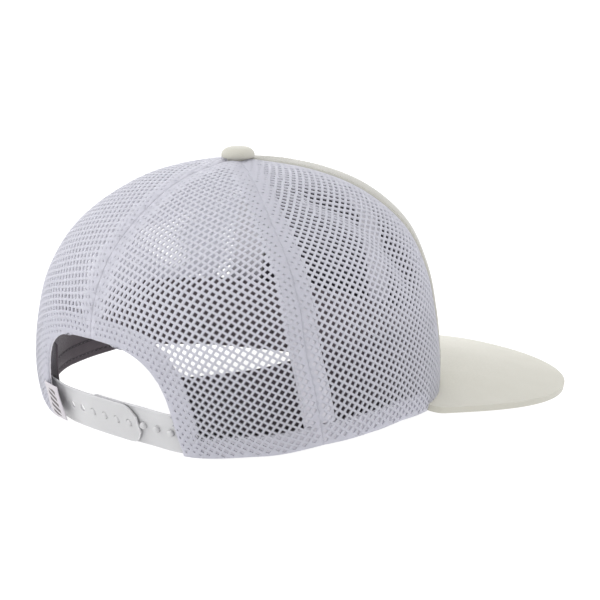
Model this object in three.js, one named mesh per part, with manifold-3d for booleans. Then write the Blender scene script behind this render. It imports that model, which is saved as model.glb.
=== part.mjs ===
// Trucker cap with a structured front, net sides and back, a peak and a snap strap.
// The peak points to -Y, the wearer's left is +X, and the cap rests on Z = 0 on the back
// of its rim and on the low edges of its peak. Lengths are millimetres, angles degrees.
import * as THREE from 'three';
import { mergeVertices } from 'three/addons/utils/BufferGeometryUtils.js';
import Module from 'manifold-3d';

// Crown sizes
const RIM_WIDTH = 198; // outside width of the rim, ear to ear
const RIM_BACK = 69.3; // crown axis to the back of the rim
const RIM_FRONT = 89.8; // crown axis to the front of the rim
const CROWN_HEIGHT = 116.6; // rest plane to the top of the crown
const TOP_FORWARD = 4.2; // the top of the crown lies this far toward the peak
const RIM_LIFT = 12; // highest point of the rim above the rest plane, near the ears
const SIDE_SEAM = 71; // angle of the seam between the back and side panels
const FRONT_SEAM = 133; // angle of the seam between the side and front panels

// Cloth, net and tape sizes
const PANEL_WALL = 1.2;
const TAPE_WALL = 1.0;
const TAPE_WIDTH = 15;
const HEM_HEIGHT = 9;
const CLEAR = 0.35; // space between touching pieces
const BUTTON_HOLE = 5.5; // radius left open at the top, under the button

// Half-moon opening at the back
const OPENING_WIDTH = 90.5;
const OPENING_HEIGHT = 46;
const OPENING_ROUND = 3.05; // superellipse exponent of its outline
const BINDING_WIDTH = 10;

// Sweatband
const BAND_HEIGHT = 35;
const BAND_WALL = 1.6;
const BAND_LEAN = 7; // how far its upper edge leans in from the wall
const BAND_END = 47.2; // half-distance between its ends across the opening

// Peak
const PEAK_WIDTH = 184.6;
const PEAK_REACH = 117.7; // from its widest line to its front edge
const PEAK_ROOT = 44.4; // its widest line lies this far in front of the crown axis
const PEAK_WALL = 2.8;
const PEAK_ROUND = 2.9; // superellipse exponent of its outline
const PEAK_PITCH = 7.8; // downward slope toward the front edge
const PEAK_CAMBER = 9.8; // drop of its side edges below its middle
const PEAK_CORNER = 7; // corner radius where the outline turns in to the crown

// Button
const BUTTON_RADIUS = 7.6;
const BUTTON_HEIGHT = 5.0;

// Snap strap
const STRAP_HEIGHT = 17.6;
const STRAP_WALL = 1.0;
const STRAP_LIFT = 0.2; // lower edge above the rim line
const STRAP_ROOT = 55; // half-distance between the sewn ends
const STRAP_END_HOLES = 20.5; // tip of the half with holes, past the middle
const STRAP_END_PEGS = 14.6; // tip of the half with pegs, past the middle
const STRAP_STEP = 20; // length over which the half with pegs steps inward, behind the other
const SNAP_PITCH = 8.7;
const SNAP_FIRST = 3.1; // the snap nearest the middle
const PEG_RADIUS = 1.7;
const PEG_STAND = 1.9; // how far a peg stands out of its strap
const SNAP_HOLES = [-2, 3]; // first and last hole, counted from the snap nearest the middle
const SNAP_PEGS = [-5, 1];

// Side label
const LABEL_WIDTH = 14;
const LABEL_HEIGHT = 16.5;
const LABEL_WALL = 1.0;
const LABEL_PLACE = 33; // its free edge, from the middle of the opening

// Crown sections from the rim up. Height is a share of CROWN_HEIGHT. Side, back and front
// are the section's reach as shares of half RIM_WIDTH, RIM_BACK and RIM_FRONT. Square is
// the section's superellipse exponent behind the ears.
const SECTIONS = [
  { height: 0, side: 1, back: 1, front: 1, square: 2.48 },
  { height: 0.1, side: 0.992, back: 1.07, front: 1.005, square: 2.41 },
  { height: 0.22, side: 0.966, back: 1.12, front: 1.008, square: 2.36 },
  { height: 0.38, side: 0.905, back: 1.158, front: 1.008, square: 2.31 },
  { height: 0.55, side: 0.84, back: 1.128, front: 0.968, square: 2.28 },
  { height: 0.72, side: 0.705, back: 0.985, front: 0.885, square: 2.4 },
  { height: 0.86, side: 0.502, back: 0.722, front: 0.685, square: 2.7 },
  { height: 0.95, side: 0.292, back: 0.43, front: 0.385, square: 2.9 },
  { height: 1, side: 0, back: 0, front: 0, square: 2.9 },
];
// The same exponent in front of the ears, at the rim and at the top
const SQUARE_RIM = 1.9;
const SQUARE_TOP = 2.3;
// Height of the rim line round the cap, as shares of RIM_LIFT
const RIM_LINE = [
  { angle: 0, lift: 0 },
  { angle: 25, lift: 0 },
  { angle: 50, lift: 0.32 },
  { angle: 75, lift: 0.72 },
  { angle: 100, lift: 1 },
  { angle: 120, lift: 0.87 },
  { angle: 145, lift: 0.63 },
  { angle: 180, lift: 0.43 },
];

const wasm = await Module();
wasm.setup();

const rad = THREE.MathUtils.degToRad;
const power = (v, e) => Math.sign(v) * Math.abs(v) ** e;
const blend = (a, b, t) => a + (b - a) * t;
const ease = THREE.MathUtils.smoothstep;
const LAST = SECTIONS.length - 1;

// A smooth curve through one column of the section table, at a row number
function column(name, row) {
  const i = Math.min(Math.max(Math.floor(row), 0), LAST - 1);
  const t = row - i;
  const at = (k) => {
    if (k < 0) return 2 * SECTIONS[0][name] - SECTIONS[1][name];
    if (k > LAST) return 2 * SECTIONS[LAST][name] - SECTIONS[LAST - 1][name];
    return SECTIONS[k][name];
  };
  const [a, b, c, d] = [at(i - 1), at(i), at(i + 1), at(i + 2)];
  const cubic = -a + 3 * b - 3 * c + d;
  return 0.5 * (2 * b + (c - a) * t + (2 * a - 5 * b + 4 * c - d) * t * t + cubic * t ** 3);
}

// Angles run from the back (0) by the wearer's right (90) to the front (180) and on
function rimLift(angle) {
  const a = Math.abs(((angle + 540) % 360) - 180);
  const k = Math.max(1, RIM_LINE.findIndex((p) => p.angle >= a));
  const [p, q] = [RIM_LINE[k - 1], RIM_LINE[k]];
  const t = ease(a, p.angle, q.angle);
  const straight = (a - p.angle) / (q.angle - p.angle);
  return RIM_LIFT * blend(p.lift, q.lift, blend(straight, t, 0.4));
}

function crownPoint(angle, row) {
  const c = Math.cos(rad(angle));
  const s = Math.sin(rad(angle));
  const up = column('height', row);
  const n = c > 0 ? column('square', row) : blend(SQUARE_RIM, SQUARE_TOP, row / LAST);
  const reach = c > 0 ? column('back', row) * RIM_BACK : column('front', row) * RIM_FRONT;
  const x = -0.5 * RIM_WIDTH * column('side', row) * power(s, 2 / n);
  const y = reach * power(c, 2 / n) - TOP_FORWARD * up * up;
  const z = up * CROWN_HEIGHT + rimLift(angle) * Math.max(1 - up, 0) ** 1.5;
  return new THREE.Vector3(x, y, z);
}

// Outward normal, kept level along the rim so that every layer ends at the rim line
function crownNormal(angle, row) {
  const r = Math.min(row, LAST - 0.05);
  const across = crownPoint(angle + 1, r).sub(crownPoint(angle - 1, r));
  const upward = crownPoint(angle, r + 0.04).sub(crownPoint(angle, Math.max(r - 0.04, 0)));
  const n = across.cross(upward).normalize();
  n.z *= Math.min(1, row);
  return n.normalize();
}

function layerPoint(angle, row, depth) {
  return crownPoint(angle, row).addScaledVector(crownNormal(angle, row), -depth);
}

// Row number of a height above the rim line
function rowAt(angle, height) {
  let [low, high] = [0, LAST];
  const target = crownPoint(angle, 0).z + height;
  for (let k = 0; k < 40; k += 1) {
    const mid = (low + high) / 2;
    if (crownPoint(angle, mid).z < target) low = mid;
    else high = mid;
  }
  return low;
}

// Angle near the back at which the crown is x away from the middle (+x is the wearer's left)
function backAngle(x, row) {
  let [low, high] = [-89, 89];
  for (let k = 0; k < 40; k += 1) {
    const mid = (low + high) / 2;
    if (crownPoint(mid, row).x > x) low = mid;
    else high = mid;
  }
  return low;
}

// Length along a section from one angle, turned into a change of angle
function turn(angle, row, length) {
  const step = 0.5;
  const d = crownPoint(angle + step, row).distanceTo(crownPoint(angle - step, row));
  return (length / d) * 2 * step;
}

// Closed wall of (columns + 1) by (rows + 1) points on each of its two faces
function wall(columns, rows, point) {
  const width = columns + 1;
  const face = width * (rows + 1);
  const position = new Float32Array(face * 6);
  for (let side = 0; side < 2; side += 1) {
    for (let j = 0; j <= rows; j += 1) {
      for (let i = 0; i <= columns; i += 1) {
        const p = point(i / columns, j / rows, side, i, j);
        p.toArray(position, 3 * (side * face + j * width + i));
      }
    }
  }
  const index = [];
  const quad = (a, b, c, d) => index.push(a, b, c, a, c, d);
  const at = (side, i, j) => side * face + j * width + i;
  for (let j = 0; j < rows; j += 1) {
    for (let i = 0; i < columns; i += 1) {
      quad(at(0, i, j), at(0, i + 1, j), at(0, i + 1, j + 1), at(0, i, j + 1));
      quad(at(1, i, j), at(1, i, j + 1), at(1, i + 1, j + 1), at(1, i + 1, j));
    }
  }
  for (let i = 0; i < columns; i += 1) {
    quad(at(0, i, 0), at(1, i, 0), at(1, i + 1, 0), at(0, i + 1, 0));
    quad(at(0, i, rows), at(0, i + 1, rows), at(1, i + 1, rows), at(1, i, rows));
  }
  for (let j = 0; j < rows; j += 1) {
    quad(at(0, 0, j), at(0, 0, j + 1), at(1, 0, j + 1), at(1, 0, j));
    quad(at(0, columns, j), at(1, columns, j), at(1, columns, j + 1), at(0, columns, j + 1));
  }
  const geometry = new THREE.BufferGeometry();
  geometry.setAttribute('position', new THREE.BufferAttribute(position, 3));
  geometry.setIndex(index);
  return outward(geometry);
}

// Turns every face over where the closed surface encloses a negative volume
function outward(geometry) {
  const p = geometry.attributes.position;
  const index = geometry.index.array;
  const [a, b, c] = [new THREE.Vector3(), new THREE.Vector3(), new THREE.Vector3()];
  let volume = 0;
  for (let k = 0; k < index.length; k += 3) {
    a.fromBufferAttribute(p, index[k]);
    b.fromBufferAttribute(p, index[k + 1]);
    c.fromBufferAttribute(p, index[k + 2]);
    volume += a.dot(b.cross(c));
  }
  if (volume < 0) geometry.setIndex(Array.from(index).reverse());
  return geometry;
}

function solid(geometry) {
  const plain = geometry.clone();
  plain.deleteAttribute('normal');
  plain.deleteAttribute('uv');
  const merged = outward(mergeVertices(plain, 1e-4));
  return new wasm.Manifold(new wasm.Mesh({
    numProp: 3,
    vertProperties: new Float32Array(merged.attributes.position.array),
    triVerts: new Uint32Array(merged.index.array),
  }));
}

function geometryOf(body) {
  const mesh = body.getMesh();
  const geometry = new THREE.BufferGeometry();
  geometry.setAttribute('position', new THREE.BufferAttribute(mesh.vertProperties, 3));
  geometry.setIndex(new THREE.BufferAttribute(mesh.triVerts, 1));
  return geometry;
}

const cap = new THREE.Group();
cap.name = 'trucker_cap';
function add(name, geometry, color, roughness) {
  const material = new THREE.MeshStandardMaterial({ color, roughness, metalness: 0 });
  const mesh = new THREE.Mesh(geometry, material);
  mesh.name = name;
  cap.add(mesh);
}

// Rows shared by the panels, tapes and lining, so that their facets lie parallel
const ROWS = [0, 0.5, 1, 1.5, 2, 2.5, 3, 3.5, 4, 4.33, 4.67, 5, 5.33, 5.67, 6, 6.33, 6.67, 7, 7.4];
const holeShare = BUTTON_HOLE / (0.5 * RIM_WIDTH * SECTIONS[LAST - 1].side);
const TOP_ROW = LAST - holeShare;
const PANEL_ROWS = [...ROWS, TOP_ROW];

// Piece of one layer between two angles, each given as a function of the row
function layer(columns, rows, from, to, outer, inner) {
  return wall(columns, rows.length - 1, (u, v, side, i, j) => {
    const row = rows[j];
    return layerPoint(blend(from(row), to(row), u), row, side ? inner : outer);
  });
}
const seamEdge = (seam, sign) => (row) => seam + sign * turn(seam, row, CLEAR / 2);
const tapeEdge = (seam, sign) => (row) => {
  const room = crownPoint(seam, row).setZ(0).add(new THREE.Vector3(0, TOP_FORWARD, 0)).length();
  return seam + sign * turn(seam, row, Math.min(TAPE_WIDTH / 2, 0.42 * room));
};

// Half-moon outline, grown by a margin, as a prism through the back of the crown
function openingPrism(margin) {
  const half = OPENING_WIDTH / 2 + margin;
  const high = OPENING_HEIGHT + margin;
  const shape = new THREE.Shape();
  const steps = 28;
  shape.moveTo(half, -20);
  for (let k = 0; k <= steps; k += 1) {
    const a = (Math.PI * k) / steps;
    const e = 2 / OPENING_ROUND;
    shape.lineTo(half * power(Math.cos(a), e), high * Math.sin(a) ** e);
  }
  shape.lineTo(-half, -20);
  shape.closePath();
  const geometry = new THREE.ExtrudeGeometry(shape, { depth: 2 * RIM_BACK, bevelEnabled: false });
  geometry.rotateX(Math.PI / 2);
  geometry.translate(0, 2.1 * RIM_BACK, 0);
  return solid(geometry);
}
const opening = openingPrism(0);
const openingBand = openingPrism(BINDING_WIDTH);
const openingMargin = openingPrism(BINDING_WIDTH + CLEAR);

// Peak: plan outline from rounded corner to rounded corner, and its sloping middle surface
function peakOutline(steps, grow) {
  const half = PEAK_WIDTH / 2 + grow;
  const r = PEAK_CORNER + grow;
  const side = [];
  for (let k = 0; k < 4; k += 1) {
    const a = (Math.PI / 2) * (1 - k / 4);
    side.push(new THREE.Vector2(half - r + r * Math.cos(a), -PEAK_ROOT + r * Math.sin(a)));
  }
  const points = side.map((p) => p.clone());
  for (let k = 0; k <= steps; k += 1) {
    const a = Math.PI * (0.5 - k / steps);
    const e = 2 / PEAK_ROUND;
    const reach = (PEAK_REACH + grow) * Math.max(Math.cos(a), 0) ** e;
    points.push(new THREE.Vector2(half * power(Math.sin(a), e), -PEAK_ROOT - reach));
  }
  side.reverse().forEach((p) => points.push(new THREE.Vector2(-p.x, p.y)));
  return points;
}
function peakFall(x, y) {
  const slope = Math.tan(rad(PEAK_PITCH)) * (-PEAK_ROOT - y);
  return -slope - PEAK_CAMBER * (x / (PEAK_WIDTH / 2)) ** 2;
}
const EDGE = peakOutline(30, 0);
const PEAK_SEAT = PEAK_WALL / 2 - Math.min(...EDGE.map((p) => peakFall(p.x, p.y)));
const peakHeight = (x, y) => PEAK_SEAT + peakFall(x, y);

// Where the peak's corners turn in, as an angle on the rim
let cornerAngle = 90;
while (crownPoint(cornerAngle, 0).y > -PEAK_ROOT + PEAK_CORNER) cornerAngle += 0.25;

function peakPlate(rows, grow, tuck, above, below) {
  const edge = peakOutline(30, grow);
  const columns = edge.length - 1;
  const start = 360 - cornerAngle + turn(cornerAngle, 0, grow);
  return wall(columns, rows, (u, v, side, i) => {
    const root = layerPoint(blend(start, 360 - start, u), 0, tuck);
    const x = blend(root.x, edge[i].x, v);
    const y = blend(root.y, edge[i].y, v);
    return new THREE.Vector3(x, y, peakHeight(x, y) + (side ? -below : above));
  });
}
const peakTuck = PANEL_WALL + TAPE_WALL + CLEAR;
add('peak', peakPlate(5, 0, peakTuck, PEAK_WALL / 2, PEAK_WALL / 2), 0xd7d6d1, 0.9);
const underPeak = solid(peakPlate(2, CLEAR, 4 * peakTuck, PEAK_WALL / 2 + CLEAR, 60));

// Net and front panels, one wall each
const panels = [
  { name: 'back_net_right', from: 0, to: SIDE_SEAM, columns: 10, net: true, opened: true },
  { name: 'side_net_right', from: SIDE_SEAM, to: FRONT_SEAM, columns: 7, net: true },
  { name: 'front_panel_right', from: FRONT_SEAM, to: 180, columns: 7 },
  { name: 'front_panel_left', from: 180, to: 360 - FRONT_SEAM, columns: 7 },
  { name: 'side_net_left', from: 360 - FRONT_SEAM, to: 360 - SIDE_SEAM, columns: 7, net: true },
  { name: 'back_net_left', from: 360 - SIDE_SEAM, to: 360, columns: 10, net: true, opened: true },
];
for (const p of panels) {
  const from = seamEdge(p.from, 1);
  const to = seamEdge(p.to, -1);
  let body = solid(layer(p.columns, PANEL_ROWS, from, to, 0, PANEL_WALL));
  if (p.opened) body = body.subtract(opening);
  else body = body.subtract(underPeak);
  add(p.name, geometryOf(body), p.net ? 0xd2d1da : 0xd9d7cd, 0.9);
}

// Seam tapes behind the panels, clear of the hem and of the binding round the opening
const tapeOuter = PANEL_WALL + CLEAR;
const tapeInner = tapeOuter + TAPE_WALL;
const hemRow = (angle) => rowAt(angle, HEM_HEIGHT + CLEAR);
const tapes = [
  { name: 'tape_back', seam: 0 },
  { name: 'tape_side_right', seam: SIDE_SEAM },
  { name: 'tape_front_right', seam: FRONT_SEAM },
  { name: 'tape_front_left', seam: 360 - FRONT_SEAM },
  { name: 'tape_side_left', seam: 360 - SIDE_SEAM },
];
for (const t of tapes) {
  const atPeak = Math.abs(t.seam - 180) < 180 - cornerAngle;
  const first = atPeak ? 0 : hemRow(t.seam);
  const rows = [first, ...PANEL_ROWS.filter((r) => r > first + 0.1)];
  const [from, to] = [tapeEdge(t.seam, -1), tapeEdge(t.seam, 1)];
  let body = solid(layer(2, rows, from, to, tapeOuter, tapeInner));
  if (t.seam === 0) body = body.subtract(openingMargin);
  if (atPeak) body = body.subtract(underPeak);
  add(t.name, geometryOf(body), 0xe4e3e6, 0.85);
}

// Lining behind the two front panels, from tape to tape
const lineFrom = (row) => tapeEdge(FRONT_SEAM, 1)(row) + turn(FRONT_SEAM, row, CLEAR);
const lineTo = (row) => 360 - lineFrom(row);
const liningBody = solid(layer(10, PANEL_ROWS, lineFrom, lineTo, tapeOuter, tapeInner));
add('front_lining', geometryOf(liningBody.subtract(underPeak)), 0x45424a, 0.95);

// Tape over the lining along the centre seam, ending above the sweatband's sewn edge
const midOuter = tapeInner + CLEAR;
const midRows = PANEL_ROWS.filter((r) => r >= 2);
const [midFrom, midTo] = [tapeEdge(180, -1), tapeEdge(180, 1)];
add('tape_front_center', layer(2, midRows, midFrom, midTo, midOuter, midOuter + TAPE_WALL), 0xe4e3e6, 0.85);

// Hem behind the lower edge of the net, and the binding round the opening
function hem(from, to) {
  const strip = wall(16, 2, (u, v, side) => {
    const angle = blend(from, to, u);
    return layerPoint(angle, rowAt(angle, HEM_HEIGHT * v), side ? tapeInner : tapeOuter);
  });
  return geometryOf(solid(strip).subtract(openingMargin).subtract(underPeak));
}
const hemEnd = cornerAngle - turn(cornerAngle, 0, CLEAR);
add('hem_right', hem(12, hemEnd), 0xc8c6cc, 0.9);
add('hem_left', hem(360 - hemEnd, 348), 0xc8c6cc, 0.9);
const bindingRows = [0, 0.5, 1, 1.5, 2, 2.5, 3, 3.5, 4, 4.5];
const bindingLayer = layer(14, bindingRows, () => -36, () => 36, tapeOuter, tapeInner);
const binding = solid(bindingLayer).intersect(openingBand).subtract(opening);
add('opening_binding', geometryOf(binding), 0xc8c6cc, 0.9);

// Strap halves: bent plates that follow the back of the crown under the opening
function strapPlate(root, tip, depth) {
  const half = STRAP_HEIGHT / 2;
  const round = half * 0.9;
  return wall(18, 2, (u, v, side) => {
    const x = blend(root, tip, u);
    const left = Math.abs(tip - x);
    const s = left < round ? Math.sqrt(1 - (1 - left / round) ** 2) : 1;
    const height = STRAP_LIFT + half + (2 * v - 1) * half * Math.max(s, 0.45);
    const row = rowAt(0, height);
    return layerPoint(backAngle(x, row), row, depth(x) + (side ? STRAP_WALL : 0));
  });
}
const strapOuter = tapeInner + CLEAR;
const strapInner = strapOuter + STRAP_WALL + CLEAR;
const holesDepth = () => strapOuter;
const pegsDepth = (x) => {
  const clearOfTip = STRAP_END_HOLES + 1;
  return blend(strapInner, strapOuter, ease(-x, clearOfTip, clearOfTip + STRAP_STEP));
};
const snapRow = rowAt(0, STRAP_LIFT + STRAP_HEIGHT / 2);
const snapRange = ([first, last]) => {
  const list = [];
  for (let k = first; k <= last; k += 1) list.push(SNAP_FIRST - SNAP_PITCH * k);
  return list;
};
// Round pin standing across the strap at one snap, between two depths
function pin(x, radius, from, to) {
  const angle = backAngle(x, snapRow);
  const [a, b] = [layerPoint(angle, snapRow, from), layerPoint(angle, snapRow, to)];
  const geometry = new THREE.CylinderGeometry(radius, radius, a.distanceTo(b), 10);
  const up = new THREE.Vector3(0, 1, 0);
  const turned = new THREE.Quaternion().setFromUnitVectors(up, b.clone().sub(a).normalize());
  geometry.applyQuaternion(turned);
  geometry.translate((a.x + b.x) / 2, (a.y + b.y) / 2, (a.z + b.z) / 2);
  return solid(geometry);
}
let strapLeft = solid(strapPlate(STRAP_ROOT, -STRAP_END_HOLES, holesDepth));
for (const x of snapRange(SNAP_HOLES.map((k) => -k).reverse())) {
  const hole = pin(x, PEG_RADIUS + CLEAR, strapOuter - 2, strapOuter + STRAP_WALL + 2);
  strapLeft = strapLeft.subtract(hole);
}
add('strap_left', geometryOf(strapLeft), 0xdcdcde, 0.4);
let strapRight = solid(strapPlate(-STRAP_ROOT, STRAP_END_PEGS, pegsDepth));
for (const x of snapRange(SNAP_PEGS.map((k) => -k).reverse())) {
  strapRight = strapRight.add(pin(x, PEG_RADIUS, pegsDepth(x) - PEG_STAND, pegsDepth(x) + STRAP_WALL / 2));
}
add('strap_right', geometryOf(strapRight), 0xdcdcde, 0.4);

// Sweatband inside the rim, over the strap's sewn ends, leaning in toward its upper edge
const bandStart = backAngle(-BAND_END, 0);
const bandOver = strapOuter + STRAP_WALL + CLEAR;
const bandDepth = (angle, v) => {
  const a = Math.abs(((angle + 540) % 360) - 180);
  const over = blend(bandOver, tapeInner + CLEAR, ease(a, bandStart + 10, bandStart + 24));
  return over + BAND_LEAN * v ** 1.3 * blend(0.1, 1, ease(a, bandStart, bandStart + 35));
};
const sweatband = wall(42, 3, (u, v, side) => {
  const angle = blend(bandStart, 360 - bandStart, u);
  const row = rowAt(angle, BAND_HEIGHT * v);
  const p = layerPoint(angle, row, 0);
  const n = crownNormal(angle, row).setZ(0).normalize();
  return p.addScaledVector(n, -(bandDepth(angle, v) + (side ? BAND_WALL : 0)));
});
add('sweatband', sweatband, 0x504b52, 0.95);

// Button with a short stem through the top of the crown
const topHeight = layerPoint(90, TOP_ROW, 0).z;
const stem = BUTTON_HOLE - 2 * CLEAR;
const dome = [[0, 0], [0.4, 0.03], [0.7, 0.14], [0.9, 0.36], [1, 0.65], [1, 0.85], [0.94, 1]];
const profile = dome.map(([r, drop]) => new THREE.Vector2(
  r * BUTTON_RADIUS, topHeight + CLEAR + BUTTON_HEIGHT * (1 - drop)));
profile.push(new THREE.Vector2(stem, topHeight + CLEAR));
profile.push(new THREE.Vector2(stem, topHeight - tapeInner));
profile.push(new THREE.Vector2(0, topHeight - tapeInner));
const button = new THREE.LatheGeometry(profile.reverse(), 24);
button.rotateX(Math.PI / 2);
button.translate(0, -TOP_FORWARD, 0);
add('button', geometryOf(solid(button)), 0xc9c4b4, 0.9);

// Woven side label at the wearer's left end of the opening
const label = wall(4, 2, (u, v, side) => {
  const row = rowAt(0, STRAP_LIFT + 1 + LABEL_HEIGHT * v);
  const angle = backAngle(LABEL_PLACE + LABEL_WIDTH * u, row);
  return layerPoint(angle, row, -CLEAR - (side ? 0 : LABEL_WALL));
});
add('side_label', label, 0xdedbdc, 0.9);

// Places the origin under the middle of the cap's length
const box = new THREE.Box3().setFromObject(cap);
cap.position.y = -(box.min.y + box.max.y) / 2;

export default cap;
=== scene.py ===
import math

import bmesh
import bpy
import numpy as np
from mathutils import Matrix, Vector


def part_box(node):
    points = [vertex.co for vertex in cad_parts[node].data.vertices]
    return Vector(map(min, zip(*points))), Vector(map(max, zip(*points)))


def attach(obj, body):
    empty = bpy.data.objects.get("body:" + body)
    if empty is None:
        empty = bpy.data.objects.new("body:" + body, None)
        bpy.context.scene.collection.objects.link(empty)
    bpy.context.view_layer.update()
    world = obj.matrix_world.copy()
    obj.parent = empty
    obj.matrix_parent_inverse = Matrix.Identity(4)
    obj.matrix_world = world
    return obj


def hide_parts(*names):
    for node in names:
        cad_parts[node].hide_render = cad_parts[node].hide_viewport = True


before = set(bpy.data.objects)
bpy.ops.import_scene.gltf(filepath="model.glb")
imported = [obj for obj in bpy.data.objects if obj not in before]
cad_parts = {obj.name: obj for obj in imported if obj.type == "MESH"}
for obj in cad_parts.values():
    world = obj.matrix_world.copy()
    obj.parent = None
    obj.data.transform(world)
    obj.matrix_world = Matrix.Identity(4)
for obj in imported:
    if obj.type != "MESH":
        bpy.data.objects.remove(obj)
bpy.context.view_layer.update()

# Sizes shared with the solids, in millimetres and degrees
MM = 0.001
RIM_WIDTH = 198.0
RIM_BACK = 69.3
RIM_FRONT = 89.8
CROWN_HEIGHT = 116.6
TOP_FORWARD = 4.2
RIM_LIFT = 12.0
SIDE_SEAM = 71.0
FRONT_SEAM = 133.0
PANEL_WALL = 1.2
TAPE_WALL = 1.0
TAPE_WIDTH = 15.0
HEM_HEIGHT = 9.0
CLEAR = 0.35
BUTTON_HOLE = 5.5
OPENING_WIDTH = 90.5
OPENING_HEIGHT = 46.0
OPENING_ROUND = 3.05
BINDING_WIDTH = 10.0
BAND_HEIGHT = 35.0
BAND_LEAN = 7.0
BAND_END = 47.2
PEAK_WIDTH = 184.6
PEAK_REACH = 117.7
PEAK_ROOT = 44.4
PEAK_WALL = 2.8
PEAK_ROUND = 2.9
PEAK_PITCH = 7.8
PEAK_CAMBER = 9.8
PEAK_CORNER = 7.0
BUTTON_RADIUS = 7.6
BUTTON_HEIGHT = 5.0
STRAP_HEIGHT = 17.6
STRAP_WALL = 1.0
STRAP_LIFT = 0.2
STRAP_ROOT = 55.0
STRAP_END_HOLES = 20.5
STRAP_END_PEGS = 14.6
STRAP_STEP = 20.0
SNAP_PITCH = 8.7
SNAP_FIRST = 3.1
PEG_RADIUS = 1.7
PEG_STAND = 1.9
LABEL_WIDTH = 14.0
LABEL_HEIGHT = 16.5
LABEL_PLACE = 33.0

# Net: the diamond repeat of the knit, and half the width and height of a full hole
CELL_WIDE = 4.5
CELL_TALL = 3.48
HOLE_WIDE = 1.32
HOLE_TALL = 1.28
# The lattice has this many cells each way before it is cut to a panel, and starts a little up
LATTICE_CELLS = 72
LATTICE_SHIFT = 0.7
# Shares of a full hole: over the hem, over a tape from its foot to its top, with the heights
# between which it shrinks, over the opening's binding, and on the side panel that is far away
HOLE_HEM = 0.95
HOLE_TAPED = (0.95, 0.5)
TAPED_RISE = (25, 80)
HOLE_BOUND = 0.62
HOLE_FAR = 0.75
# Cells this far inside the opening's outline are left out before the net is laid on the crown
WELL_INSIDE = 0.965
# Lay of the knit: its tilt on a side panel; and on a back panel, where it starts to turn and
# over what height, how much at most, how its courses climb low and high, how they bend and lean
FABRIC_TILT = 0.08
TURN_FROM = 26
TURN_OVER = 38
TURN_MOST = 1.25
COURSE_CLIMB = 0.13
COURSE_CLIMB_MORE = 0.14
COURSE_BEND = 0.0034
COURSE_LEAN = 5.5
# Shallow dents of one panel: two places on it, across and up, then the width and the depth
DENTED = "side_net_right"
DENTS = (((-8, 109), (4, 93), 6.5, 2.0), ((4, 93), (17, 62), 7, 2.2))

# Thickness of each cloth as it looks, a little less than the solid's wall
NET_THICK = 0.7
TAPE_THICK = 0.8
FRONT_THICK = 1.1
LINING_THICK = 0.9
BAND_THICK = 0.9
LABEL_THICK = 0.5
# Depth of the tapes and hems behind the net's face, and the gap that two cloths leave at a seam
TAPE_NEAR = 0.8
SEAM_GAP = 0.03
# A tape narrows to this share of its distance from the middle of the crown
TAPE_NARROW = 0.42
# Rows of the crown at which the lining and the centre tape begin
LINING_FROM = 0.9
CENTRE_TAPE_FROM = 2.0
# Creases, as width and depth: at a seam of the net, at a folded edge, along a row of stitches,
# and on the front at its two seams and beside them
SEAM_DIP = (1.8, 0.35)
EDGE_DIP = (1.2, 0.45)
STITCH_DIP = (0.5, 0.15)
CENTRE_DIP = (1.1, 0.55)
FRONT_DIP = (1.1, 0.45)
CENTRE_STITCH_DIP = (0.45, 0.18)
FRONT_STITCH_DIP = (0.45, 0.15)
# Height of the small ripples of the sewn tapes and hems, and of the opening's binding
PUCKER = 0.06
BINDING_PUCKER = 0.05

# Rows of stitches: how far they lie from a seam of the net, from a folded edge, from the front's
# two seams and up the sweatband; and the pitch, length and radius of a stitch
SEAM_ROW = 6.4
HEM_ROW = 8.0
FRONT_ROW = 2.5
CENTRE_ROW = 6.0
BAND_ROWS = (3.0, 9.5)
SEAM_STITCH = (2.8, 2.3, 0.2)
HEM_STITCH = (2.8, 2.3, 0.22)
BAND_STITCH = (2.6, 2.1, 0.2)

# Strap: the square of mesh round a snap, the steps of its raised rim, and the rim's height
SNAP_CELL = 2.6
STRAP_RIM_STEPS = (0, 0.6, 1.3, 2.6)
STRAP_BEAD = 0.3
# Label: pitch, slant and share of its bars, and the limits that they keep across and up
BAR_PITCH = 2.8
BAR_SLANT = 20
BAR_SHARE = 0.42
BARS_WITHIN = ((0, "GREATER_THAN", 3.2), (0, "LESS_THAN", 10.4),
               (1, "GREATER_THAN", 1.4), (1, "LESS_THAN", 14.2))

# Level sections of the crown from the rim to the top: height and reaches as shares of the sizes
# above, and how square the back of the section is
SECTIONS = {
    "height": (0.0, 0.10, 0.22, 0.38, 0.55, 0.72, 0.86, 0.95, 1.0),
    "side": (1.0, 0.992, 0.966, 0.905, 0.84, 0.705, 0.502, 0.292, 0.0),
    "back": (1.0, 1.07, 1.12, 1.158, 1.128, 0.985, 0.722, 0.43, 0.0),
    "front": (1.0, 1.005, 1.008, 1.008, 0.968, 0.885, 0.685, 0.385, 0.0),
    "square": (2.48, 2.41, 2.36, 2.31, 2.28, 2.4, 2.7, 2.9, 2.9),
}
# How square the front of a section is, at the rim and at the top
SQUARE_RIM = 1.9
SQUARE_TOP = 2.3
# Lift of the rim as a share of RIM_LIFT, by the angle from the middle of the back, and the share
# of its course that is eased between these places
RIM_EASED = 0.4
RIM_LINE = ((0, 0), (25, 0), (50, 0.32), (75, 0.72), (100, 1.0), (120, 0.87), (145, 0.63), (180, 0.43))
LAST = 8

button_low, button_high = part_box("button")
CENTRE_Y = (button_low[1] + button_high[1]) / 2 / MM + TOP_FORWARD


# The crown's surface, as the solids have it
def blend(a, b, t):
    return a + (b - a) * t


def ease(v, a, b):
    t = min(max((v - a) / (b - a), 0.0), 1.0)
    return t * t * (3 - 2 * t)


def power(v, e):
    return math.copysign(abs(v) ** e, v)


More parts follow.
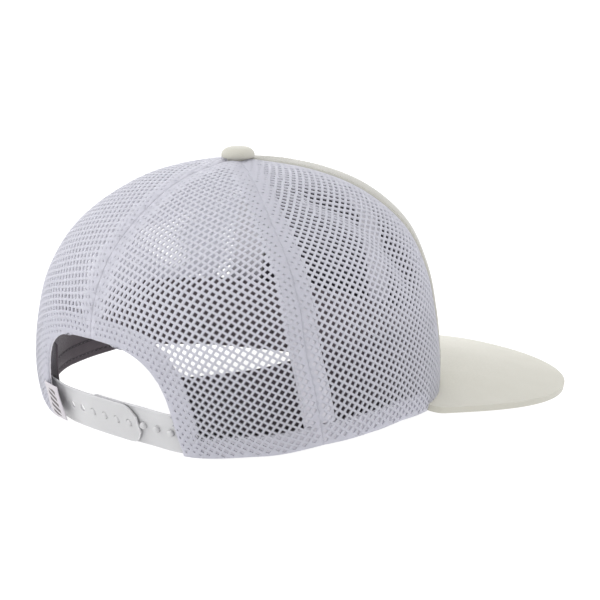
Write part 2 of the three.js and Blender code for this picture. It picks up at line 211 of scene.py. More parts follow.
def column(name, row):
    """Value of a column of SECTIONS at any row, on a smooth curve through its entries."""
    table = SECTIONS[name]
    i = min(max(int(row), 0), LAST - 1)
    t = row - i
    a = table[i - 1] if i > 0 else 2 * table[0] - table[1]
    b, c = table[i], table[i + 1]
    d = table[i + 2] if i + 2 <= LAST else 2 * table[LAST] - table[LAST - 1]
    return 0.5 * (2 * b + (c - a) * t + (2 * a - 5 * b + 4 * c - d) * t * t + (-a + 3 * b - 3 * c + d) * t**3)


def rim_lift(angle):
    a = abs((angle + 540) % 360 - 180)
    k = next(i for i in range(1, len(RIM_LINE)) if RIM_LINE[i][0] >= a)
    (a0, l0), (a1, l1) = RIM_LINE[k - 1], RIM_LINE[k]
    straight = (a - a0) / (a1 - a0)
    return RIM_LIFT * blend(l0, l1, blend(straight, ease(a, a0, a1), RIM_EASED))


def crown(angle, row):
    """Point of the crown's outer face; angle 0 is the middle of the back, 180 of the front."""
    c, s = math.cos(math.radians(angle)), math.sin(math.radians(angle))
    up = column("height", row)
    if c > 0:
        n, reach = column("square", row), column("back", row) * RIM_BACK
    else:
        n, reach = blend(SQUARE_RIM, SQUARE_TOP, row / LAST), column("front", row) * RIM_FRONT
    x = -0.5 * RIM_WIDTH * column("side", row) * power(s, 2 / n)
    y = reach * power(c, 2 / n) - TOP_FORWARD * up * up
    z = up * CROWN_HEIGHT + rim_lift(angle) * max(1 - up, 0) ** 1.5
    return Vector((x, y, z))


def crown_normal(angle, row):
    r = min(row, LAST - 0.05)
    across = crown(angle + 1, r) - crown(angle - 1, r)
    upward = crown(angle, r + 0.04) - crown(angle, max(r - 0.04, 0))
    n = across.cross(upward).normalized()
    n.z *= min(1, row)
    return n.normalized()


def layer(angle, row, depth):
    """Point at a depth under the crown's outer face."""
    return crown(angle, row) - crown_normal(angle, row) * depth


def solve(low, high, below):
    """The value at which below turns false, by halving."""
    for _ in range(30):
        mid = (low + high) / 2
        if below(mid):
            low = mid
        else:
            high = mid
    return low


def row_at(angle, height):
    target = crown(angle, 0).z + height
    return solve(0, LAST, lambda r: crown(angle, r).z < target)


def back_angle(x, row):
    return solve(-89, 89, lambda a: crown(a, row).x > x)


def turn(angle, row, length):
    """Angle that a length across the crown takes up."""
    return length / (crown(angle + 0.5, row) - crown(angle - 0.5, row)).length


def to_frame(p):
    """From the crown's axis in millimetres to the shared frame in metres."""
    return Vector((p.x * MM, (p.y + CENTRE_Y) * MM, p.z * MM))


hole_share = BUTTON_HOLE / (0.5 * RIM_WIDTH * SECTIONS["side"][LAST - 1])
TOP_ROW = LAST - hole_share
TAPE_DEPTH = PANEL_WALL + CLEAR
BAND_DEPTH = TAPE_DEPTH + TAPE_WALL + CLEAR
STRAP_OUTER = BAND_DEPTH
STRAP_INNER = STRAP_OUTER + STRAP_WALL + CLEAR


def tape_half(seam, row):
    p = crown(seam, row)
    return min(TAPE_WIDTH / 2, TAPE_NARROW * math.hypot(p.x, p.y + TOP_FORWARD))


# Materials
def rgb(text):
    def linear(v):
        return v / 12.92 if v <= 0.04045 else ((v + 0.055) / 1.055) ** 2.4

    return tuple(linear(int(text[i : i + 2], 16) / 255) for i in (0, 2, 4)) + (1.0,)


def add_node(tree, kind, settings=None, inputs=None):
    """Adds one node, sets its properties, and fills or links its inputs."""
    n = tree.nodes.new(kind)
    for key, value in (settings or {}).items():
        setattr(n, key, value)
    for key, value in (inputs or {}).items():
        if isinstance(value, bpy.types.NodeSocket):
            tree.links.new(value, n.inputs[key])
        else:
            n.inputs[key].default_value = value
    return n


def finish_material(name, shader_inputs, build, let_through=0.0):
    """One Principled material; let_through is the share of light that passes a thin cloth."""
    m = bpy.data.materials.new(name)
    m.use_nodes = True
    tree = m.node_tree
    tree.nodes.clear()
    shader = add_node(tree, "ShaderNodeBsdfPrincipled", None, shader_inputs)
    surface = shader.outputs["BSDF"]
    if let_through:
        glow = add_node(tree, "ShaderNodeBsdfTranslucent", None, {"Color": rgb("EAEAEF")})
        mixed = add_node(tree, "ShaderNodeMixShader", None, {0: let_through, 1: surface, 2: glow.outputs[0]})
        surface = mixed.outputs[0]
    add_node(tree, "ShaderNodeOutputMaterial", None, {"Surface": surface})
    build(tree, shader)
    return m


def repeat(mm):
    """Wave Texture scale that gives one band each mm of a coordinate in metres."""
    return 2 * math.pi / 20 / (mm * MM)


def tint(tree, shader, low, high, coords, patch_mm):
    """Base colour that drifts between two shades, in patches of about the size given."""
    noise = add_node(tree, "ShaderNodeTexNoise", None,
                     {"Vector": coords, "Scale": 1 / (patch_mm * MM), "Detail": 3.0})
    mix = add_node(tree, "ShaderNodeMix", {"data_type": "RGBA"},
                   {0: noise.outputs["Fac"], 6: rgb(low), 7: rgb(high)})
    tree.links.new(mix.outputs[2], shader.inputs["Base Color"])


def weave_bump(tree, shader, coords, thread_mm, strength, distance_mm, diagonal=False):
    """Crossing threads of a woven cloth, as a bump."""
    turned = add_node(tree, "ShaderNodeMapping", None,
                      {"Vector": coords, "Rotation": (0, 0, math.radians(45 if diagonal else 0))})
    threads = {"Vector": turned.outputs[0], "Scale": repeat(thread_mm), "Distortion": 0.6, "Detail": 1.0}
    warp = add_node(tree, "ShaderNodeTexWave", {"bands_direction": "X"}, threads)
    weft = add_node(tree, "ShaderNodeTexWave", {"bands_direction": "Y"}, threads)
    both = add_node(tree, "ShaderNodeMath", {"operation": "MULTIPLY"},
                    {0: warp.outputs["Fac"], 1: weft.outputs["Fac"]})
    bump = add_node(tree, "ShaderNodeBump", None,
                    {"Height": both.outputs[0], "Strength": strength, "Distance": distance_mm * MM})
    tree.links.new(bump.outputs[0], shader.inputs["Normal"])


def object_coords(tree):
    return add_node(tree, "ShaderNodeTexCoord").outputs["Object"]


def uv_coords(tree):
    return add_node(tree, "ShaderNodeTexCoord").outputs["UV"]


# Warp-knit polyester net: cool white filament yarn, soft sheen on its rounded bars
def net_knit(tree, shader):
    co = object_coords(tree)
    tint(tree, shader, "D5D5DD", "DEDEE6", co, 9)
    yarn = add_node(tree, "ShaderNodeTexNoise", None, {"Vector": co, "Scale": 1 / (0.5 * MM), "Detail": 2.0})
    bump = add_node(tree, "ShaderNodeBump", None,
                    {"Height": yarn.outputs["Fac"], "Strength": 0.35, "Distance": 0.15 * MM})
    tree.links.new(bump.outputs[0], shader.inputs["Normal"])


NET = finish_material("polyester_warp_knit_net", {
    "Roughness": 0.62, "Sheen Weight": 0.15, "Sheen Roughness": 0.4}, net_knit, 0.5)


# Polyester twill tape: flat white, fine diagonal ribs
def twill_tape(tree, shader):
    tint(tree, shader, "E4E2E8", "EDEBF0", object_coords(tree), 6)
    weave_bump(tree, shader, uv_coords(tree), 0.7, 0.5, 0.12, True)


TAPE = finish_material("white_polyester_twill_tape", {"Roughness": 0.8, "Sheen Weight": 0.15}, twill_tape)


# Hem of the net folded on itself: a little greyer than the tapes, the same yarn
def folded_knit(tree, shader):
    tint(tree, shader, "CDCBD3", "DAD8DF", object_coords(tree), 3)
    weave_bump(tree, shader, uv_coords(tree), 1.1, 0.6, 0.15, True)


HEM = finish_material("folded_warp_knit_hem", {"Roughness": 0.75, "Sheen Weight": 0.15}, folded_knit)


# Cotton-blend twill of the peak and button: warm off-white, matte, close diagonal weave. The
# threads here and in the cloths below are drawn coarser than real ones, so that they show
def off_white_twill(tree, shader):
    co = object_coords(tree)
    tint(tree, shader, "B5B3A8", "BEBCB2", co, 14)
    weave_bump(tree, shader, co, 0.55, 0.45, 0.10, True)


CLOTH = finish_material("off_white_cotton_twill", {
    "Roughness": 0.88, "Sheen Weight": 0.3, "Sheen Roughness": 0.5}, off_white_twill)


# The same twill on the front panels, its colour made a shade deeper as painted shade against the strong light
# that falls on them from behind; its weave follows each panel
def front_twill_painted_shade(tree, shader):
    tint(tree, shader, "A09F98", "A8A69F", object_coords(tree), 14)
    weave_bump(tree, shader, uv_coords(tree), 0.55, 0.45, 0.10, True)


FRONT = finish_material("off_white_cotton_twill_front_painted_shade", {
    "Roughness": 0.88, "Sheen Weight": 0.3, "Sheen Roughness": 0.5}, front_twill_painted_shade)


# Fused buckram lining: dark grey, stiff and dull, with an open plain weave
def buckram(tree, shader):
    tint(tree, shader, "37343B", "444148", object_coords(tree), 8)
    weave_bump(tree, shader, uv_coords(tree), 0.9, 0.5, 0.15)


LINING = finish_material("dark_grey_fused_buckram", {"Roughness": 0.95}, buckram)


# Brushed twill sweatband: dark warm grey with a light nap, with painted shade along its two sewn rows, where
# the stitched grooves lie in shadow
def brushed_twill(tree, shader):
    weave_bump(tree, shader, uv_coords(tree), 0.6, 0.4, 0.12, True)
    nap = add_node(tree, "ShaderNodeTexNoise", None,
                   {"Vector": object_coords(tree), "Scale": 1 / (5 * MM), "Detail": 5.0})
    cloth = add_node(tree, "ShaderNodeMix", {"data_type": "RGBA"},
                     {0: nap.outputs["Fac"], 6: rgb("4C454A"), 7: rgb("5A5257")})
    place = add_node(tree, "ShaderNodeSeparateXYZ", None, {0: uv_coords(tree)})
    # Painted shade: a band along each sewn row, standing in for the shadow in its groove
    groove_shade_mask = 0.0
    for height, width in zip(BAND_ROWS, (0.5, 0.7)):
        line = add_node(tree, "ShaderNodeMath", {"operation": "COMPARE"},
                        {0: place.outputs[1], 1: height * MM, 2: width * MM})
        groove_shade_lines = add_node(tree, "ShaderNodeMath", {"operation": "ADD"}, {0: line.outputs[0], 1: groove_shade_mask})
        groove_shade_mask = groove_shade_lines.outputs[0]
    # Colour of the painted shade, darker than the cloth
    groove_shade_colour = add_node(tree, "ShaderNodeMix", {"data_type": "RGBA"},
                    {0: groove_shade_mask, 6: cloth.outputs[2], 7: rgb("3A3439")})
    tree.links.new(groove_shade_colour.outputs[2], shader.inputs["Base Color"])


SWEAT = finish_material("dark_grey_brushed_twill_band", {
    "Roughness": 0.92, "Sheen Weight": 0.4, "Sheen Roughness": 0.35}, brushed_twill)


# Moulded low-density polyethylene strap: milky white, satin, a little light passes through
def milky_polyethylene(tree, shader):
    co = object_coords(tree)
    tint(tree, shader, "C5C5C7", "CCCCCD", co, 20)
    grain = add_node(tree, "ShaderNodeTexNoise", None, {"Vector": co, "Scale": 1 / (1.2 * MM), "Detail": 2.0})
    bump = add_node(tree, "ShaderNodeBump", None,
                    {"Height": grain.outputs["Fac"], "Strength": 0.12, "Distance": 0.1 * MM})
    tree.links.new(bump.outputs[0], shader.inputs["Normal"])


PLASTIC = finish_material("milky_moulded_polyethylene", {
    "Roughness": 0.34, "IOR": 1.51, "Transmission Weight": 0.12,
    "Subsurface Weight": 0.5, "Subsurface Scale": 1.5 * MM, "Subsurface Radius": (1, 1, 1)}, milky_polyethylene)


# Woven satin label: pale ground with a plain ladder of slanting maroon bars
def woven_label(tree, shader):
    co = uv_coords(tree)
    place = add_node(tree, "ShaderNodeSeparateXYZ", None, {0: co})
    slant = add_node(tree, "ShaderNodeMapping", None,
                     {"Vector": co, "Rotation": (0, 0, math.radians(BAR_SLANT))})
    bars = add_node(tree, "ShaderNodeTexWave", {"bands_direction": "Y", "wave_profile": "TRI"},
                    {"Vector": slant.outputs[0], "Scale": repeat(BAR_PITCH)})
    on_bar = add_node(tree, "ShaderNodeMath", {"operation": "GREATER_THAN"},
                      {0: bars.outputs["Fac"], 1: BAR_SHARE})
    maroon = on_bar.outputs[0]
    for axis, operation, limit in BARS_WITHIN:
        within = add_node(tree, "ShaderNodeMath", {"operation": operation},
                          {0: place.outputs[axis], 1: limit * MM})
        both = add_node(tree, "ShaderNodeMath", {"operation": "MULTIPLY"},
                        {0: maroon, 1: within.outputs[0]})
        maroon = both.outputs[0]
    mix = add_node(tree, "ShaderNodeMix", {"data_type": "RGBA"},
                   {0: maroon, 6: rgb("BBB6BC"), 7: rgb("240A14")})
    tree.links.new(mix.outputs[2], shader.inputs["Base Color"])
    weave_bump(tree, shader, co, 0.4, 0.4, 0.08)


LABEL = finish_material("woven_satin_label", {"Roughness": 0.6, "Sheen Weight": 0.3}, woven_label)


# Spun polyester thread, white, off-white and grey: matte, with a faint change of shade
def thread(low, high):
    def build(tree, shader):
        tint(tree, shader, low, high, object_coords(tree), 0.6)
    return build


WHITE_THREAD = finish_material("white_spun_thread", {
    "Roughness": 0.7, "Sheen Weight": 0.1}, thread("C2C2CA", "CDCDD5"))
CREAM_THREAD = finish_material("off_white_spun_thread", {
    "Roughness": 0.6, "Sheen Weight": 0.3}, thread("BDBBB2", "CBC9C1"))
GREY_THREAD = finish_material("grey_spun_thread", {
    "Roughness": 0.7, "Sheen Weight": 0.2}, thread("4E484E", "5E575E"))


# Making pieces
def to_object(bm, name, material, replaces=()):
    mesh = bpy.data.meshes.new(name)
    bm.to_mesh(mesh)
    bm.free()
    mesh.materials.append(material)
    mesh.shade_smooth()
    piece = bpy.data.objects.new(name, mesh)
    bpy.context.scene.collection.objects.link(piece)
    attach(piece, "root")
    if replaces:
        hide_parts(*replaces)
    return piece


def turn_outward(bm):
    """Turns the faces of an open wall away from the middle of the crown."""
    middle = Vector((0, CENTRE_Y * MM, 0.03))
    total = sum(f.normal.dot(f.calc_center_median() - middle) * f.calc_area() for f in bm.faces)
    if total < 0:
        bmesh.ops.reverse_faces(bm, faces=bm.faces[:])


def grid_piece(columns, rows, place, uv):
    """A grid of quads, each corner moved to place(u, v), both from 0 to 1; uv gives its cloth map."""
    bm = bmesh.new()
    bmesh.ops.create_grid(bm, x_segments=columns, y_segments=rows, size=0.5)
    lay = bm.loops.layers.uv.new("cloth")
    for f in bm.faces:
        for loop in f.loops:
            u, v = loop.vert.co.x + 0.5, loop.vert.co.y + 0.5
            loop[lay].uv = uv(u, v)
    for vert in bm.verts:
        vert.co = to_frame(place(vert.co.x + 0.5, vert.co.y + 0.5))
    bm.normal_update()
    turn_outward(bm)
    return bm


def thicken(piece, thick_mm, levels=1):
    """Gives a cloth its thickness inward, and rounds it off in so many levels."""
    wall = piece.modifiers.new("wall", "SOLIDIFY")
    wall.thickness = thick_mm * MM
    wall.offset = -1.0
    if levels:
        round_off = piece.modifiers.new("soften", "SUBSURF")
        round_off.levels = levels
        round_off.render_levels = levels


def groove(distance, width, deep):
    """Depth of a soft crease at a distance from its middle."""
    return deep * math.exp(-((distance / width) ** 2))


# Pierced net
def opening_ratio(x, z):
    n = OPENING_ROUND
    return ((abs(x) / (OPENING_WIDTH / 2)) ** n + (max(z, 0) / OPENING_HEIGHT) ** n) ** (1 / n)


def drape(x, y, opened):
    """Turns the knit's wales on a panel; on a back panel they turn more toward the back seam."""
    if not opened:
        return x - FABRIC_TILT * (y - 60), y + FABRIC_TILT * x
    high = min(max((y - TURN_FROM) / TURN_OVER, 0.0), TURN_MOST)
    rise = (COURSE_CLIMB + COURSE_CLIMB_MORE * high) * x - COURSE_BEND * high * x * x
    lean = COURSE_LEAN * high * high * (1 - x / 120) + 0.03 * (y - 40)
    return x - lean, y + rise


def dent(s, t):
    """Depth of the dents at a place of the panel; each dent runs between two places."""
    deep = 0.0
    for (s0, t0), (s1, t1), width, most in DENTS:
        ds, dt = s1 - s0, t1 - t0
        k = min(max(((s - s0) * ds + (t - t0) * dt) / (ds * ds + dt * dt), 0.0), 1.0)
        deep = max(deep, groove(math.hypot(s - s0 - k * ds, t - t0 - k * dt), width, most))
    return deep


def net_panel(name, low, high, mirrored, opened):
    """The knit's flat lattice, pierced, cut at the panel's seams and laid on the crown."""
    middle = (low + high) / 2
    rows = np.linspace(0, TOP_ROW, 90)
    spine = [crown(middle, r) for r in rows]
    climb = np.concatenate([[0], np.cumsum([(b - a).length for a, b in zip(spine, spine[1:])])])
    angles = np.linspace(low + 0.02, high - 0.02, 31)
    across = np.zeros((len(rows), len(angles)))
    for i, r in enumerate(rows):
        ring = [crown(a, r) for a in angles]
        run = np.concatenate([[0], np.cumsum([(b - a).length for a, b in zip(ring, ring[1:])])])
        across[i] = run - np.interp(middle, angles, run)

    def ring_at(t):
        k = float(np.interp(t, climb, np.arange(len(rows))))
        i = min(int(k), len(rows) - 2)
        return rows[i] + (rows[i + 1] - rows[i]) * (k - i), across[i] * (1 - k + i) + across[i + 1] * (k - i)

    def on_crown(s, t):
        row, run = ring_at(min(max(t, 0), climb[-1]))
        return float(np.interp(s, run, angles)), row, run

    bm = bmesh.new()
    count = LATTICE_CELLS
    bmesh.ops.create_grid(bm, x_segments=count, y_segments=count, size=count / 2)
    lattice = Matrix(((CELL_WIDE / 2, -CELL_WIDE / 2, 0, 0), (CELL_TALL / 2, CELL_TALL / 2, 0, 0),
                      (0, 0, 1, 0), (0, 0, 0, 1)))
    lift = Matrix.Translation((0, climb[-1] / 2 + LATTICE_SHIFT, 0))
    bmesh.ops.transform(bm, matrix=lift @ lattice, verts=bm.verts)
    for v in bm.verts:
        v.co = Vector(drape(v.co.x, v.co.y, opened) + (0,))
    outside = []
    for f in bm.faces:
        c = f.calc_center_median()
        reach = 0.75 * CELL_WIDE
        if c.y < -CELL_TALL or c.y > climb[-1] + CELL_TALL:
            outside.append(f)
            continue
        angle, row, run = on_crown(c.x, c.y)
        if c.x < run[0] - reach or c.x > run[-1] + reach:
            outside.append(f)
        elif opened:
            p = crown(angle, row)
            if opening_ratio(p.x, p.z) < WELL_INSIDE:
                outside.append(f)
    bmesh.ops.delete(bm, geom=outside, context="FACES")
    cells = bm.faces[:]
    bmesh.ops.inset_individual(bm, faces=cells, thickness=CELL_TALL / 8, use_even_offset=True)
    pierced = []
    for f in cells:
        c = f.calc_center_median()
        angle, row, run = on_crown(c.x, c.y)
        seam, rim = min(c.x - run[0], run[-1] - c.x), c.y
        k = HOLE_FAR if mirrored and not opened else 1.0
        if seam < TAPE_WIDTH / 2:
            k = blend(*HOLE_TAPED, ease(rim, *TAPED_RISE))
        if rim < HEM_HEIGHT:
            k = HOLE_HEM
        if opened:
            p = crown(angle, row)
            arch = (opening_ratio(p.x, p.z) - 1) * OPENING_WIDTH / 2
            k = HOLE_BOUND if arch < BINDING_WIDTH else k
            rim = min(rim, arch)
        if min(seam, rim) > HOLE_WIDE:
            pierced.append(f)
        for v in f.verts:
            d = v.co - c
            reach = HOLE_WIDE if abs(d.x) > abs(d.y) else HOLE_TALL
            v.co = c + d.normalized() * reach * k
    bmesh.ops.delete(bm, geom=pierced, context="FACES_ONLY")
    lay = bm.loops.layers.uv.new("cloth")
    for f in bm.faces:
        for loop in f.loops:
            loop[lay].uv = (loop.vert.co.x * MM, loop.vert.co.y * MM)
    # straighten the seams to u = -1 and u = 1, cut there and at the rim, then lay on the crown
    for v in bm.verts:
        _, run = ring_at(min(max(v.co.y, 0), climb[-1]))
        v.co.x = v.co.x / (-run[0] if v.co.x < 0 else run[-1])
    for point, normal in (((-1, 0, 0), (-1, 0, 0)), ((1, 0, 0), (1, 0, 0)), ((0, 0, 0), (0, -1, 0)),
                          ((0, climb[-1], 0), (0, 1, 0))):
        geom = bm.verts[:] + bm.edges[:] + bm.faces[:]
        bmesh.ops.bisect_plane(bm, geom=geom, dist=1e-5, plane_co=point, plane_no=normal, clear_outer=True)
    for v in bm.verts:
        row, run = ring_at(v.co.y)
        half = -run[0] if v.co.x < 0 else run[-1]
        angle = float(np.interp(v.co.x * half, run, angles))
        edge = (1 - abs(v.co.x)) * half
        rim = v.co.y
        if opened:
            p = crown(angle, row)
            ratio = opening_ratio(p.x, p.z)
            if ratio < 1:
                z = p.z / max(ratio, 0.2)
                row = row_at(0, z) if z > 0.5 else 0
                angle = abs(back_angle(p.x / max(ratio, 0.2), row)) if angle > 0 else angle
                ratio = 1
            rim = min(rim, (ratio - 1) * OPENING_WIDTH / 2)
        depth = groove(edge, *SEAM_DIP) + groove(rim, *EDGE_DIP)
        if row < 6:  # above it the seams draw together, and no row of stitches has room to sink in
            depth += groove(edge - SEAM_ROW, *STITCH_DIP) + groove(rim - HEM_ROW, *STITCH_DIP)
        if name == DENTED:
            depth += dent(v.co.x * half, v.co.y)
        v.co = to_frame(layer(360 - angle if mirrored else angle, row, depth))
    bmesh.ops.remove_doubles(bm, verts=bm.verts, dist=0.02 * MM)
    bmesh.ops.dissolve_degenerate(bm, edges=bm.edges, dist=0.02 * MM)
    bm.normal_update()
    turn_outward(bm)
    thicken(to_object(bm, name + "_pierced", NET, (name,)), NET_THICK, 0)


# Seam tapes, hems and binding
def tape_piece(name, seam, start):
    """A tape along a seam; start gives the row at which it begins, at each angle."""
    def place(u, v):
        low = start(seam)
        first_row = start(seam + (2 * u - 1) * turn(seam, low, tape_half(seam, low)))
        row = blend(first_row, TOP_ROW, v)
        half = tape_half(seam, row)
        angle = seam + (2 * u - 1) * turn(seam, row, half)
        crease = groove((2 * u - 1) * half, *SEAM_DIP)
        return layer(angle, row, TAPE_NEAR + crease + PUCKER * math.sin(v * 90 + u * 3))

    bm = grid_piece(8, 70, place, lambda u, v: (u * TAPE_WIDTH * MM, v * 140 * MM))
    thicken(to_object(bm, name + "_twill", TAPE, (name,)), TAPE_THICK)


def peak_fall(x, y):
    return -math.tan(math.radians(PEAK_PITCH)) * (-PEAK_ROOT - y) - PEAK_CAMBER * (x / (PEAK_WIDTH / 2)) ** 2


def peak_outline(steps, corner_steps=4):
    half, r = PEAK_WIDTH / 2, PEAK_CORNER
    side = []
    for k in range(corner_steps):
        a = math.pi / 2 * (1 - k / corner_steps)
        side.append((half - r + r * math.cos(a), -PEAK_ROOT + r * math.sin(a)))
    points = list(side)
    e = 2 / PEAK_ROUND
    for k in range(steps + 1):
        a = math.pi * (0.5 - k / steps)
        points.append((half * power(math.sin(a), e), -PEAK_ROOT - PEAK_REACH * max(math.cos(a), 0) ** e))
    points += [(-x, y) for x, y in reversed(side)]
    return points


PEAK_SEAT = PEAK_WALL / 2 - min(peak_fall(x, y) for x, y in peak_outline(30))


def peak_height(x, y):
    return PEAK_SEAT + peak_fall(x, y)


corner_angle = solve(90, 180, lambda a: crown(a, 0).y > -PEAK_ROOT + PEAK_CORNER)


def seat_row(angle, depth, above=PEAK_WALL / 2 + CLEAR):
    """Row at which a layer of the crown meets the top of the peak."""
    def under(r):
        p = layer(angle, r, depth)
        return p.z < peak_height(p.x, p.y) + above
    return solve(0, 3, under)


def front_start(angle, depth):
    a = abs((angle + 540) % 360 - 180)
    return seat_row(angle, depth) if a > corner_angle else 0.0


def binding_edge(angle):
    """Row of the binding's outer edge, near the back seam."""
    x = crown(angle, row_at(0, OPENING_HEIGHT)).x
    share = (abs(x) / (OPENING_WIDTH / 2 + BINDING_WIDTH)) ** OPENING_ROUND
    return row_at(0, (OPENING_HEIGHT + BINDING_WIDTH) * (1 - share) ** (1 / OPENING_ROUND) + SEAM_GAP)


# The net panels, and the tapes behind their seams
for side, mirrored in (("right", False), ("left", True)):
    net_panel(f"back_net_{side}", 0.0, SIDE_SEAM, mirrored, True)
    net_panel(f"side_net_{side}", SIDE_SEAM, FRONT_SEAM, mirrored, False)

tape_piece("tape_back", 0, binding_edge)
for name, seam in (("tape_side_right", SIDE_SEAM), ("tape_side_left", 360 - SIDE_SEAM)):
    tape_piece(name, seam, lambda angle: row_at(angle, HEM_HEIGHT + SEAM_GAP))
for name, seam in (("tape_front_right", FRONT_SEAM), ("tape_front_left", 360 - FRONT_SEAM)):
    tape_piece(name, seam, lambda angle: seat_row(angle, TAPE_DEPTH, PEAK_WALL / 2 + 1.2))


def front_panel(name, low, high, mid_low):
    """One front panel; mid_low says that the centre seam is at its low angle."""
    def place(u, v):
        row = blend(front_start(blend(low, high, u), 0), TOP_ROW, v)
        lo = low + turn(low, row, SEAM_GAP)
        hi = high - turn(high, row, SEAM_GAP)
        angle = blend(lo, hi, u)
        span = (crown(hi, row) - crown(lo, row)).length
        centre = (u if mid_low else 1 - u) * span
        outer = (1 - u if mid_low else u) * span
        depth = groove(centre, *CENTRE_DIP) + groove(outer, *FRONT_DIP)
        depth += groove(centre - CENTRE_ROW, *CENTRE_STITCH_DIP)
        depth += groove(outer - FRONT_ROW, *FRONT_STITCH_DIP)
        return layer(angle, row, depth)

    bm = grid_piece(46, 60, place, lambda u, v: (u * 70 * MM, v * 130 * MM))
    thicken(to_object(bm, name + "_twill", FRONT, (name,)), FRONT_THICK)


front_panel("front_panel_right", FRONT_SEAM, 180.0, False)
front_panel("front_panel_left", 180.0, 360 - FRONT_SEAM, True)


def lining_place(u, v):
    row = blend(LINING_FROM, TOP_ROW, v)
    edge = FRONT_SEAM + turn(FRONT_SEAM, row, tape_half(FRONT_SEAM, row)) + turn(FRONT_SEAM, row, CLEAR)
    angle = blend(edge, 360 - edge, u)
    row = max(row, blend(seat_row(angle, TAPE_DEPTH), TOP_ROW, v))
    return layer(angle, row, TAPE_DEPTH)


bm = grid_piece(60, 50, lining_place, lambda u, v: (u * 130 * MM, v * 120 * MM))
thicken(to_object(bm, "front_lining_buckram", LINING, ("front_lining",)), LINING_THICK)


def centre_tape(u, v):
    row = blend(CENTRE_TAPE_FROM, TOP_ROW, v)
    half = tape_half(180, row)
    return layer(180 + (2 * u - 1) * turn(180, row, half), row,
                 TAPE_DEPTH + TAPE_WALL + CLEAR + groove((2 * u - 1) * half, 0.9, 0.3))


bm = grid_piece(8, 60, centre_tape, lambda u, v: (u * TAPE_WIDTH * MM, v * 120 * MM))
thicken(to_object(bm, "tape_front_center_twill", TAPE, ("tape_front_center",)), TAPE_THICK)


# Hem and binding lie behind the folded edge of the net
def hem_piece(name, sign):
    start = back_angle(-(OPENING_WIDTH / 2 + BINDING_WIDTH + CLEAR), 0)

    def place(u, v):
        angle = blend(start, corner_angle - turn(corner_angle, 0, CLEAR), u)
        row = row_at(angle, HEM_HEIGHT * v)
        depth = TAPE_NEAR + groove(v * HEM_HEIGHT, *EDGE_DIP) + PUCKER * math.sin(u * 260)
        return layer(sign * angle, row, depth)

    bm = grid_piece(120, 5, place, lambda u, v: (u * 170 * MM, v * HEM_HEIGHT * MM))
    thicken(to_object(bm, name + "_twill", HEM, (name,)), TAPE_THICK)


hem_piece("hem_right", 1)
hem_piece("hem_left", -1)


def opening_edge(u, grow):
    """Angle and row of a point of the opening's outline, grown outward; u runs from end to end."""
    a = math.pi * u
    e = 2 / OPENING_ROUND
    x = (OPENING_WIDTH / 2 + grow) * power(math.cos(a), e)
    z = (OPENING_HEIGHT + grow) * max(math.sin(a), 0) ** e
    row = row_at(0, z) if z > 0.01 else 0
    return back_angle(x, row), row


def binding_place(u, v):
    angle, row = opening_edge(u, BINDING_WIDTH * v)
    depth = TAPE_NEAR + groove(v * BINDING_WIDTH, *EDGE_DIP) + BINDING_PUCKER * math.sin(u * 190)
    return layer(angle, row, depth)


bm = grid_piece(110, 6, binding_place, lambda u, v: (u * 150 * MM, v * BINDING_WIDTH * MM))
thicken(to_object(bm, "opening_binding_twill", TAPE, ("opening_binding",)), TAPE_THICK)


# Sweatband: folded at its lower edge, sewn in two rows, leaning in at the top
band_start = back_angle(-BAND_END, 0)


def band_point(angle, height, depth):
    a = abs((angle + 540) % 360 - 180)
    v = height / BAND_HEIGHT
    over = blend(STRAP_INNER, BAND_DEPTH, ease(a, band_start + 10, band_start + 24))
    over += BAND_LEAN * v**1.3 * blend(0.1, 1, ease(a, band_start, band_start + 35))
    row = row_at(angle, height)
    n = crown_normal(angle, row)
    n.z = 0
    return crown(angle, row) - n.normalized() * (over + depth)


def sweatband_place(u, v):
    angle = blend(band_start, 360 - band_start, u)
    height = BAND_HEIGHT * v
    low, high = BAND_ROWS
    sunk = groove(height - low, 0.45, 0.3) + groove(height - high, 0.6, 0.5)
    puffed = 0.3 * math.sin(math.pi * min(max((height - low) / (high - low), 0), 1))
    return band_point(angle, height, 0.2 - sunk + puffed + 0.25 * (1 + math.sin(u * 57 + 4 * v)) * v)


bm = grid_piece(200, 24, sweatband_place, lambda u, v: (u * 480 * MM, v * BAND_HEIGHT * MM))
thicken(to_object(bm, "sweatband_brushed", SWEAT, ("sweatband",)), BAND_THICK)


# Peak: covered board with a rolled edge
def peak_piece():
    edge = peak_outline(84, 8)
    columns = len(edge) - 1
    tuck = PANEL_WALL + TAPE_WALL + CLEAR

    def place(u, v):
        i = min(round(u * columns), columns)
        root = layer(blend(360 - corner_angle, corner_angle, u), 0, tuck)
        x, y = blend(root.x, edge[i][0], v), blend(root.y, edge[i][1], v)
        return Vector((x, y, peak_height(x, y)))

    bm = grid_piece(columns, 26, place, lambda u, v: (u, v))
    if sum(f.normal.z for f in bm.faces) < 0:
        bmesh.ops.reverse_faces(bm, faces=bm.faces[:])
    piece = to_object(bm, "peak_covered", CLOTH, ("peak",))
    wall = piece.modifiers.new("board", "SOLIDIFY")
    wall.thickness = PEAK_WALL * MM
    wall.offset = 0
    roll = piece.modifiers.new("rolled_edge", "BEVEL")
    roll.width = 1.1 * MM
    roll.segments = 4
    roll.limit_method = "ANGLE"


peak_piece()


